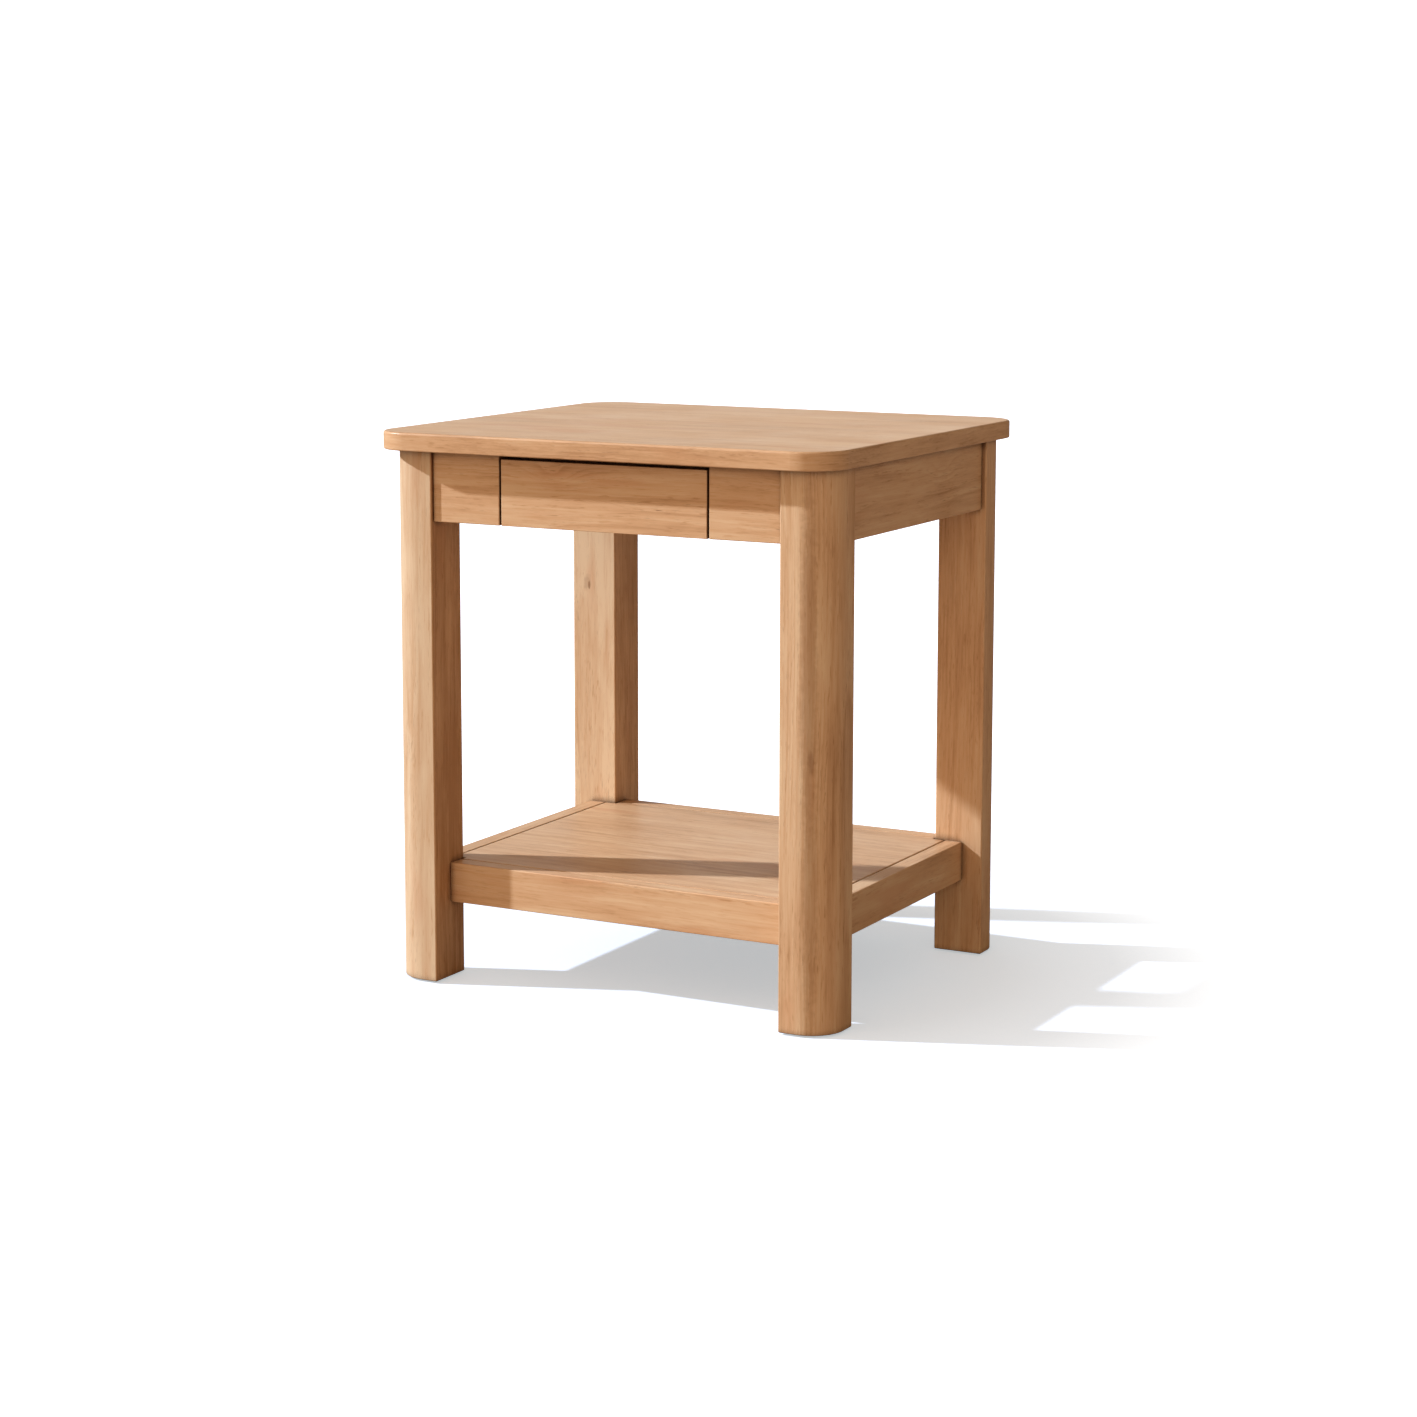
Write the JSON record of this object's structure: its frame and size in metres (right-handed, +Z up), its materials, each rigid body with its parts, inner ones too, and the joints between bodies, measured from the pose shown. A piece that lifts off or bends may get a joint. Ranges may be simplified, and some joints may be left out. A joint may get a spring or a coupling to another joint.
{
  "type": "side table with drawer",
  "caption": "Small rectangular wooden side table with a flush pull-out drawer, square legs rounded at the outer corner and a framed lower shelf.",
  "frame": {"origin": "on the floor, under the middle of the table top", "axes": "+Z up, +X to the right seen from the front, -Y towards the front, the way the drawer pulls out"},
  "size_m": [0.5, 0.45, 0.55],
  "materials": {
    "oak": "satin clear varnish",
    "plywood": "sanded, unvarnished",
    "beech": "bare",
    "zinc_steel": "bright zinc plate",
    "cage_steel": "plain rolled strip",
    "ball_steel": "polished",
    "fastener_steel": "zinc plate",
    "dark_nylon": "matte",
    "clear_rubber": "soft, matte"
  },
  "bodies": {
    "frame": {"bracket_screws": "fastener_steel", "corner_bolts": "fastener_steel", "corner_bracket_front_left": "zinc_steel", "corner_bracket_front_right": "zinc_steel", "corner_bracket_rear_left": "zinc_steel", "corner_bracket_rear_right": "zinc_steel", "corner_nuts": "fastener_steel", "corner_washers": "fastener_steel", "drawer_guide_left": "oak", "drawer_guide_right": "oak", "foot_glide_front_left": "dark_nylon", "foot_glide_front_right": "dark_nylon", "foot_glide_rear_left": "dark_nylon", "foot_glide_rear_right": "dark_nylon", "frame_dowels": "beech", "front_apron_left": "oak", "front_apron_right": "oak", "guide_dowels": "beech", "leg_front_left": "oak", "leg_front_right": "oak", "leg_rear_left": "oak", "leg_rear_right": "oak", "rear_apron": "oak", "shelf_cleat_front": "oak", "shelf_cleat_left": "oak", "shelf_cleat_rear": "oak", "shelf_cleat_right": "oak", "shelf_panel": "oak", "shelf_rail_front": "oak", "shelf_rail_left": "oak", "shelf_rail_rear": "oak", "shelf_rail_right": "oak", "side_apron_left": "oak", "side_apron_right": "oak", "slide_outer_left": "zinc_steel", "slide_outer_right": "zinc_steel", "slide_outer_screws": "fastener_steel", "table_top": "oak", "tie_rail": "oak", "top_angles": "zinc_steel", "wood_screws": "fastener_steel"},
    "drawer": {"drawer_back": "oak", "drawer_bottom": "plywood", "drawer_bumpers": "clear_rubber", "drawer_dowels": "beech", "drawer_front": "oak", "drawer_front_screws": "fastener_steel", "drawer_inner_front": "oak", "drawer_side_left": "oak", "drawer_side_right": "oak", "slide_inner_left": "zinc_steel", "slide_inner_right": "zinc_steel", "slide_inner_screws": "fastener_steel"},
    "ball_cage_left": {"slide_cage_left": "cage_steel", "slide_balls_left": "ball_steel"},
    "ball_cage_right": {"slide_cage_right": "cage_steel", "slide_balls_right": "ball_steel"}
  },
  "joints": [
    {"name": "drawer_slide", "type": "slide", "parent": "frame", "child": "drawer", "axis": [0, -1, 0], "range_m": [0, 0.21]},
    {"name": "ball_cage_left_slide", "type": "slide", "parent": "frame", "child": "ball_cage_left", "axis": [0, -1, 0], "range_m": [0, 0.105]},
    {"name": "ball_cage_right_slide", "type": "slide", "parent": "frame", "child": "ball_cage_right", "axis": [0, -1, 0], "range_m": [0, 0.105]}
  ],
  "couplings": [
    {"joint": "ball_cage_left_slide", "follows": "drawer_slide", "ratio": 0.5},
    {"joint": "ball_cage_right_slide", "follows": "drawer_slide", "ratio": 0.5}
  ]
}
